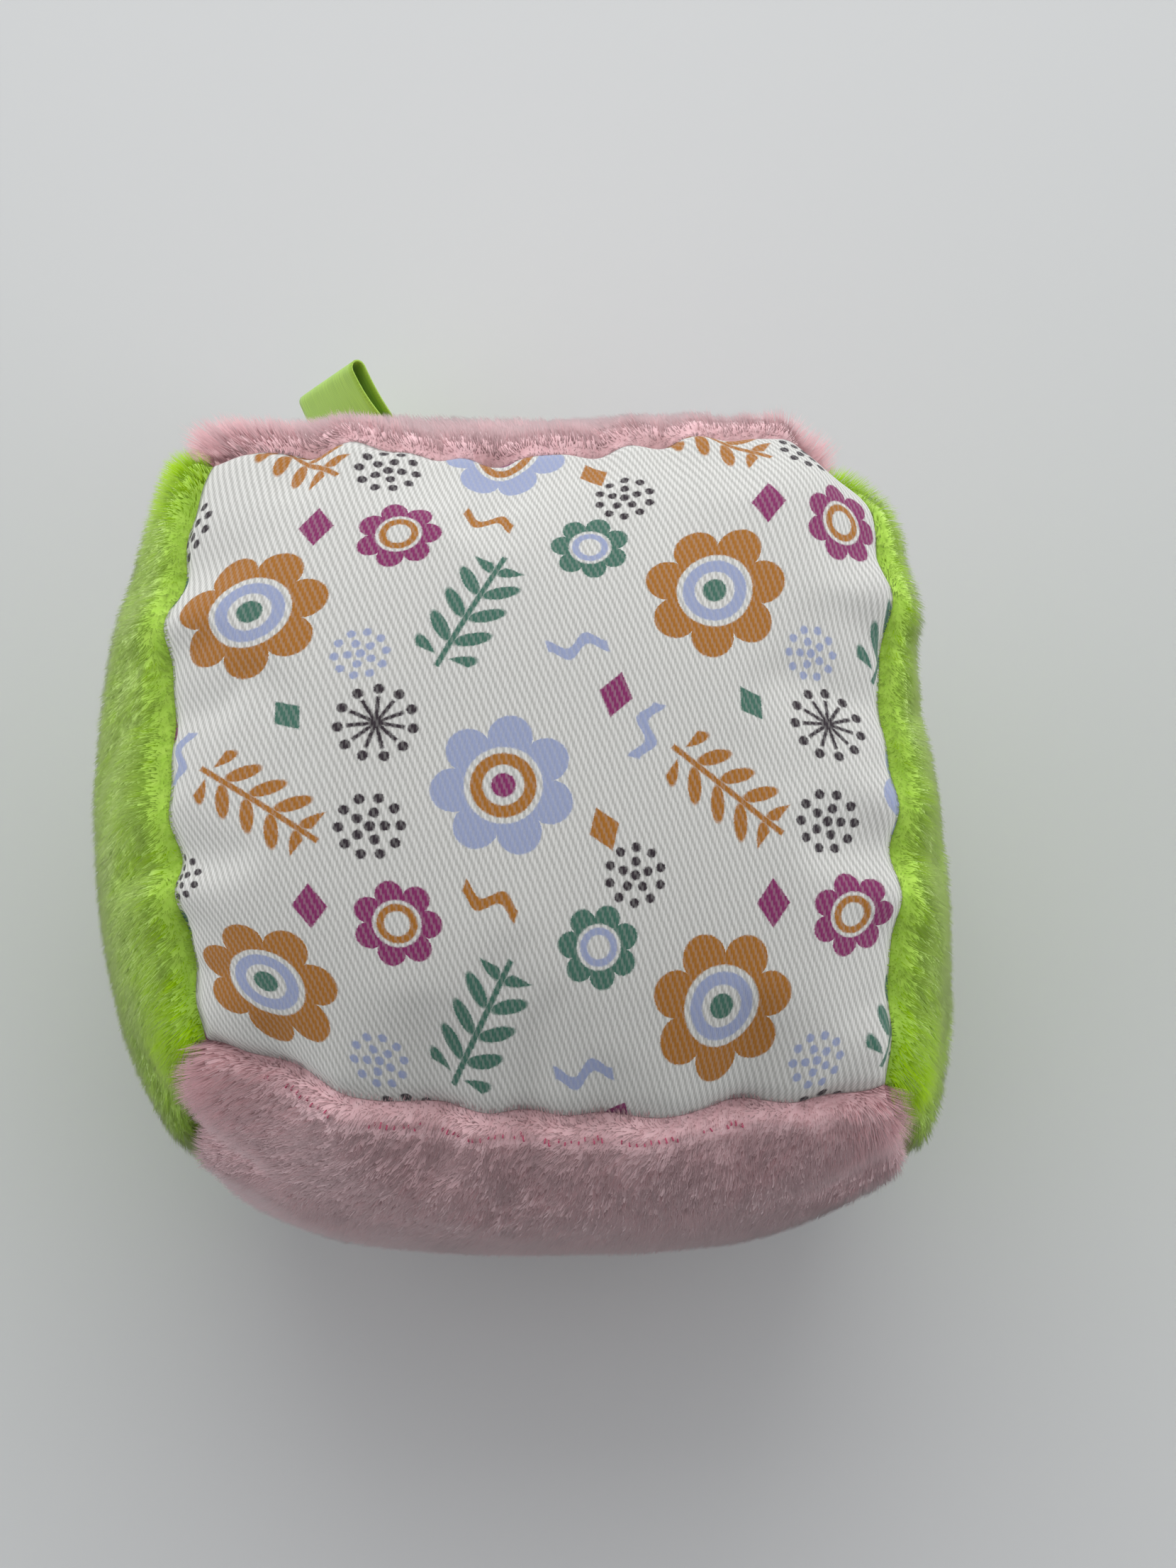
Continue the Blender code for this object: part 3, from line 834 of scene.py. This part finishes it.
    # a leaning strand shows its upper side: the part of the outward direction that is square to it
    lying = strand / np.linalg.norm(strand, axis=1)[:, None]
    shown = outward + (spread + cut["cornerLift"]) * corner[:, None] + spread * cut["edgeTurn"] * beside
    shown /= np.linalg.norm(shown, axis=1)[:, None]
    facing = cut["topside"] * shown - lying * (shown * lying).sum(1)[:, None]
    facing /= np.linalg.norm(facing, axis=1)[:, None]
    aside = np.cross(strand, outward)
    aside /= np.maximum(np.linalg.norm(aside, axis=1), 1e-9)[:, None]
    wide = cut["width"] * random.uniform(0.7, 1.2, count)[:, None]
    verts = np.stack([root - aside * wide / 2, root + aside * wide / 2, root + outward * wide * 0.6, tip], 1)
    verts[:, :, 2] = np.maximum(verts[:, :, 2], 0.1 * mm)
    faces = np.array([[0, 3, 2], [2, 3, 1], [1, 3, 0], [0, 2, 1]])
    mesh = bpy.data.meshes.new(name + "Pile" + "AB"[half])
    mesh.vertices.add(count * 4)
    mesh.vertices.foreach_set("co", verts.ravel())
    mesh.loops.add(count * 12)
    mesh.loops.foreach_set("vertex_index", (faces[None] + 4 * np.arange(count)[:, None, None]).ravel())
    mesh.polygons.add(count * 4)
    mesh.polygons.foreach_set("loop_start", np.arange(count * 4) * 3)
    mesh.update(calc_edges=True)
    toneAndCornerLight = 0.5 + drift(flat, cut["cloud"]) + cut["tuftTint"] * ownLook[:, 2]
    toneAndCornerLight = toneAndCornerLight + random.uniform(-0.15, 0.15, count)
    # painted light: the corners are made paler, standing in for light caught in their fluff
    toneAndCornerLight += drift(flat @ alongNap(name), cut["streak"]) + cut["paintedCornerLight"] * corner
    # a small place of its own on the bake's map for each strand, root to tip
    cells = math.ceil(math.sqrt(count))
    ownMap = np.array([[0.1, 0.1], [0.9, 0.1], [0.5, 0.1], [0.5, 0.9]])[faces]
    ownMap[3] = [[0.1, 0.08], [0.5, 0.0], [0.9, 0.08]]
    cell = np.stack([np.arange(count) % cells, np.arange(count) // cells], 1)
    atlas = (ownMap[None] + cell[:, None, None, :]) / cells
    mesh.uv_layers.new(name="OFBake").data.foreach_set("uv", atlas.ravel())
    for label, kind, prop, values in (
        ("along", "FLOAT", "value", np.tile([0.0, 0.0, 0.0, 1.0], count)),
        ("toneAndCornerLight", "FLOAT", "value", np.repeat(toneAndCornerLight, 4)),
        ("facing", "FLOAT_VECTOR", "vector", np.repeat(facing, 4, axis=0).ravel()),
    ):
        mesh.attributes.new(label, kind, "POINT").data.foreach_set(prop, values)
    mesh.materials.append(plush[panelDyes[name]])
    pile = bpy.data.objects.new(mesh.name, mesh)
    bpy.context.scene.collection.objects.link(pile)
    finishPiece(pile, "block", panelDyes[name] + "_plush")
    return pile


for index, name in enumerate(napTurns):
    for half in range(pileCut["pieces"]):
        growPile(name, half, pileCut, 100 + 10 * index + half)
    print("pile grown on the", name)

# Seams: a lockstitched thread along each one, at the bottom of the valley between two panels
seamThread = {
    "stitch": 2.5 * mm, "step": 0.4 * mm, "radius": 0.16 * mm,
    "sunk": 0.3 * mm, "dip": 0.3 * mm, "trim": 2.5 * mm,
    "colour": "#CFC9BF",
}
closingThread = {
    "from": -37 * mm, "to": 27 * mm, "pitch": 0.8 * mm, "drop": 2.3 * mm,
    "stitch": 0.5 * mm, "radius": 0.1 * mm, "proud": 0.75 * mm, "scatter": 0.18 * mm,
    "hidden": 0.35, "waves": (0.55, 1.31),  # the share that the pile hides, in waves along the seam
    "colour": "#BC4467",
}


def threadMaterial(name, colour):
    # spun polyester sewing thread: matt, with a slight sheen
    material, add = newMaterial(name)
    place = add("TexCoord", out=3)
    ply = add("TexNoise", place, None, 4000.0, 2.0)
    tone = add("HueSaturation", 0.5, 1.0, add("MapRange", ply, 0.3, 0.7, 0.8, 1.15), 1.0, hexColour(colour))
    shader = add("BsdfPrincipled", named={"Base Color": tone, "Roughness": 0.6, "Sheen Weight": 0.3})
    add("OutputMaterial", shader)
    return material


def makeThread(name, lines, radius, material, slotName, node):
    curve = bpy.data.curves.new(name, "CURVE")
    curve.dimensions = "3D"
    curve.bevel_depth = radius
    curve.bevel_resolution = 1
    curve.use_fill_caps = True
    for line in lines:
        spline = curve.splines.new("POLY")
        spline.points.add(len(line) - 1)
        spline.points.foreach_set("co", np.column_stack([line, np.ones(len(line))]).ravel())
    thread = bpy.data.objects.new(name, curve)
    bpy.context.scene.collection.objects.link(thread)
    onlySelect(thread)
    bpy.ops.object.convert(target="MESH")
    applyModifier(thread, "WELD", merge_threshold=radius / 100)
    thread.data.shade_smooth()
    thread.data.materials.append(material)
    finishPiece(thread, "block", slotName, node)


def evenly(line, step):
    # the same line with points a step apart, and how far along each one lies
    run = np.concatenate([[0], np.cumsum(np.linalg.norm(np.diff(line, axis=0), axis=1))])
    at = np.linspace(0, run[-1], round(run[-1] / step) + 1)
    return np.column_stack([np.interp(at, run, line[:, axis]) for axis in range(3)]), at


def sewSeam(first, second, look, material):
    (a, signA), (b, signB) = sides[first], sides[second]
    on = (cube[:, a] * signA > 0.9999) & (cube[:, b] * signB > 0.9999)
    order = np.argsort(cube[on, 3 - a - b])
    line, at = evenly(points[on][order], look["step"])
    outward = line - blockCentre
    outward /= np.linalg.norm(outward, axis=1)[:, None]
    dip = look["sunk"] + look["dip"] * (1 + np.cos(at * 2 * math.pi / look["stitch"])) / 2
    line = line - outward * dip[:, None]
    kept = (at > look["trim"]) & (at < at[-1] - look["trim"])
    name = first + second.capitalize() + "SeamThread"
    makeThread(name, [line[kept]], look["radius"], material, "seam_thread", "seam_" + first + "_" + second)


def panelPlace(name, where):
    # the point of a panel's dome at a place on the cube, between its nearest points, and its normal
    dome, _, cubeAt, normals = domes[name]
    away = np.linalg.norm(cubeAt - where, axis=1)
    nearest = np.argsort(away)[:4]
    weight = 1 / (away[nearest] + 1e-4)
    weight = (weight / weight.sum())[:, None]
    return (dome[nearest] * weight).sum(0), (normals[nearest] * weight).sum(0)


def closeOpening(look):
    # small upright hand stitches along the front panel's top, where the block was closed
    random = np.random.default_rng(31)
    half = blockForm["seam"]
    stitches = []
    for x in np.arange(look["from"], look["to"], look["pitch"]):
        x += random.uniform(-0.25, 0.25) * look["pitch"]
        slow, quick = (math.sin(x / mm * wave) for wave in look["waves"])
        if slow + 0.7 * quick < 4 * look["hidden"] - 2:
            continue
        middle = 1 - (look["drop"] + random.uniform(-1, 1) * look["scatter"]) / half
        reach = look["stitch"] * random.uniform(0.35, 0.65) / half
        slope = random.uniform(-0.35, 0.35) * look["stitch"]
        top, normal = panelPlace("front", (x / half, -1, middle + reach))
        low, normal = panelPlace("front", ((x + slope) / half, -1, middle - reach))
        share = np.linspace(0, 1, 6)[:, None]
        rise = look["proud"] * (np.sin(share * math.pi) - 0.35 * random.uniform(0.6, 1.8))
        stitches.append(top + (low - top) * share + normal * rise)
    material = threadMaterial("deepPinkSewingThread", look["colour"])
    makeThread("closingStitches", stitches, look["radius"], material, "closing_thread", "closing_stitch")


lockstitch = threadMaterial("spunPolyesterThread", seamThread["colour"])
for first, second in [(end, side) for end in ("top", "bottom") for side in napTurns] + [
    (end, side) for end in ("front", "back") for side in ("left", "right")
]:
    sewSeam(first, second, seamThread, lockstitch)
closeOpening(closingThread)
print("seams sewn and the opening closed")

# Ribbon: a folded loop of satin whose ends are caught in the bottom back seam
ribbonLoop = {
    "width": 22 * mm, "length": 42.5 * mm, "thick": 0.3 * mm, "foldRadius": 1.15 * mm, "rootGap": 0.5 * mm,
    "rise": 20, "slantAtRoot": 20, "slantAtTip": 24, "rollAtTip": 60,  # degrees
    "tuckedIn": 2.2 * mm, "bendOver": 7 * mm,  # into the seam, and past it
    "satin": "#AED447", "shade": "#91BA35", "warpPitch": 0.3, "pickPitch": 0.45, "selvedge": 0.9,  # mm
}


def satinMaterial(look):
    # woven polyester satin: long warp floats along the ribbon give a smooth silky shine
    material, add = newMaterial("limePolyesterSatin")
    flat = add("UVMap", uv_map="flat")
    size = (look["width"] / mm, (2 * look["length"] + 2 * look["tuckedIn"]) / mm, 0)
    place = add("VectorMath", flat, size, operation="MULTIPLY")
    across = add("SeparateXYZ", place, out=0)
    along = add("SeparateXYZ", place, out=1)
    warp = add("Math", across, 2 * math.pi / look["warpPitch"], operation="MULTIPLY")  # coarser than real
    warp = add("Math", warp, operation="SINE")
    streak = add("VectorMath", place, (6, 0.15, 0), operation="MULTIPLY")
    streak = add("TexNoise", streak, None, 1.0, 3.0)
    half = look["width"] / mm / 2
    fromMiddle = add("Math", across, half, operation="SUBTRACT")
    fromMiddle = add("Math", fromMiddle, operation="ABSOLUTE")
    selvedge = half - look["selvedge"]
    edge = add("MapRange", fromMiddle, selvedge, selvedge + 0.2, 0.0, 1.0)
    picks = add("Math", along, 2 * math.pi / look["pickPitch"], operation="MULTIPLY")
    picks = add("Math", picks, operation="SINE")
    height = add("MixRGB", edge, warp, picks)
    streak = add("MapRange", streak, 0.3, 0.7, 0.0, 1.0)
    colour = add("MixRGB", streak, hexColour(look["shade"]), hexColour(look["satin"]))
    bump = add("Bump", 0.35, 0.04 * mm, named={"Height": height})
    shader = add("BsdfPrincipled", named={
        "Base Color": colour, "Roughness": 0.42, "Normal": bump, "Sheen Weight": 0.2, "Anisotropic": 0.5,
        "Specular IOR Level": 0.5,
    })
    through = add("BsdfTranslucent", colour, bump)
    add("OutputMaterial", add("MixShader", 0.08, shader, through))
    return material


def eased(share):
    share = np.clip(share, 0, 1)
    return share * share * (3 - 2 * share)


def foldRibbon(size):
    joints = frame["record"]["behaviour"]["joints"]
    hinge = np.array(next(joint["pos_m"] for joint in joints if joint["name"] == "tab_flop"))
    columns, rows = 16, 150
    bpy.ops.mesh.primitive_grid_add(x_subdivisions=columns, y_subdivisions=rows, size=1)
    ribbon = bpy.context.object
    ribbon.name = ribbon.data.name = "satinRibbonLoop"
    ribbon.data.uv_layers.active.name = "flat"
    grid = readPoints(ribbon.data)
    length, radius = size["length"], size["foldRadius"]
    offset = grid[:, 0] * size["width"]
    # walk along the ribbon: out on the upper layer, round the fold, and back on the lower one
    leg = length - radius
    walk = (grid[:, 1] + 0.5) * (2 * leg + math.pi * radius)
    angle = np.clip((walk - leg) / radius, 0, math.pi)
    side = np.where(walk < leg + math.pi * radius / 2, 1, -1)
    out = np.where(side > 0, np.minimum(walk, leg), np.minimum(2 * leg + math.pi * radius - walk, leg))
    reach = out + radius * np.sin(angle)
    apart = size["rootGap"] / 2 + (radius - size["rootGap"] / 2) * eased((out / leg - 0.45) / 0.55)
    lift = np.where((angle > 0) & (angle < math.pi), radius * np.cos(angle), side * apart)
    # each thread of the ribbon starts on the hinge line, a little inside the seam
    start = -offset * math.tan(math.radians(size["slantAtRoot"])) - size["tuckedIn"]
    reach = start + reach * (length - start) / length
    share = reach / length
    first, last = (math.radians(size[name]) for name in ("slantAtRoot", "slantAtTip"))
    slant = first + (last - first) * np.clip(share, 0, 1)
    roll = np.radians(size["rollAtTip"]) * eased(share)
    rise = math.radians(size["rise"])
    level = np.array([1.0, 0, 0])
    rising = np.array([0, math.cos(rise), math.sin(rise)])
    normal = np.cross(level, rising)
    # the centre line turns evenly from one slant to the other
    turnRate = (last - first) / length
    bent = np.maximum(reach, 0)
    tucked = np.minimum(reach, 0)
    ahead = (np.sin(first + turnRate * bent) - math.sin(first)) / turnRate + tucked * math.cos(first)
    aside = (np.cos(first + turnRate * bent) - math.cos(first)) / turnRate - tucked * math.sin(first)
    centre = hinge + rising * ahead[:, None] + level * aside[:, None]
    across = level * np.cos(slant)[:, None] + rising * np.sin(slant)[:, None]
    rolled = across * np.cos(roll)[:, None] + normal * np.sin(roll)[:, None]
    up = -across * np.sin(roll)[:, None] + normal * np.cos(roll)[:, None]
    ripple = 0.35 * mm * np.sin(reach / length * 9 + offset / size["width"] * 2.5) * eased(share)
    writePoints(ribbon.data, centre + rolled * offset[:, None] + up * (lift + ripple)[:, None])
    applyModifier(ribbon, "SOLIDIFY", thickness=size["thick"], offset=0)
    ribbon.data.shade_smooth()
    ribbon.data.materials.append(satinMaterial(size))
    start = hinge - rising * size["tuckedIn"]
    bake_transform(ribbon)
    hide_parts("ribbon_tab")


foldRibbon(ribbonLoop)
print("ribbon folded")

# Floor and light: a pale sweep under a broad window light from behind and above
studio = {
    "floor": "#CACBCA", "floorSize": 16, "window": 4.1, "windowSize": 0.8, "windowPlace": (0.0, 0.58, 0.7),
    "room": 1.06, "roomColour": "#F4F6FA",
    "ceiling": 0.85, "behind": 0.93, "sides": 3.4,  # how much dimmer above, and brighter there
    "backdrop": "#D6D9DA",
}


def buildStudio(look):
    bpy.ops.mesh.primitive_plane_add(size=look["floorSize"])
    floor = bpy.context.object
    floor.name = "floor"
    material, add = newMaterial("paleCard")
    grain = add("TexNoise", add("TexCoord", out=3), None, 900.0, 2.0)
    bump = add("Bump", 0.05, 0.05 * mm, named={"Height": grain})
    shader = add("BsdfPrincipled", named={
        "Base Color": hexColour(look["floor"]), "Roughness": 0.8, "Normal": bump,
    })
    add("OutputMaterial", shader)
    floor.data.materials.append(material)
    bpy.ops.object.light_add(type="AREA", location=look["windowPlace"])
    window = bpy.context.object
    window.name = "window"
    window.data.energy = look["window"]
    window.data.size = look["windowSize"]
    toBlock = Vector(blockCentre) - window.location
    window.rotation_euler = toBlock.to_track_quat("-Z", "Y").to_euler()
    world = bpy.data.worlds.new("room")
    bpy.context.scene.world = world
    world.use_nodes = True
    world.node_tree.nodes.clear()
    add = partial(addNode, world.node_tree)
    toward = add("TexCoord", out="Generated")  # in a world, the direction looked in
    up = add("Math", add("SeparateXYZ", toward, out=2), 0.0, operation="MAXIMUM")
    walls = add("Math", up, -look["ceiling"], 1.0, operation="MULTIPLY_ADD")
    behind = add("SeparateXYZ", toward, out=1)
    behind = add("Math", behind, look["behind"], 1.0, operation="MULTIPLY_ADD")
    aside = add("SeparateXYZ", toward, out=0)
    aside = add("Math", aside, 4.0, operation="POWER")
    aside = add("Math", aside, look["sides"], behind, operation="MULTIPLY_ADD")
    level = add("Math", add("Math", walls, aside, operation="MULTIPLY"), look["room"], operation="MULTIPLY")
    light = add("Background", hexColour(look["roomColour"]), level)
    seen = add("Background", hexColour(look["backdrop"]), 1.0)  # what the camera and reflections see
    path = [add("LightPath", out=out) for out in ("Is Camera Ray", "Is Glossy Ray", "Is Transmission Ray")]
    direct = add("Math", add("Math", *path[:2], operation="MAXIMUM"), path[2], operation="MAXIMUM")
    add("OutputWorld", add("MixShader", direct, light, seen))
    bpy.context.scene.view_settings.view_transform = "Standard"


buildStudio(studio)
print("studio lit")
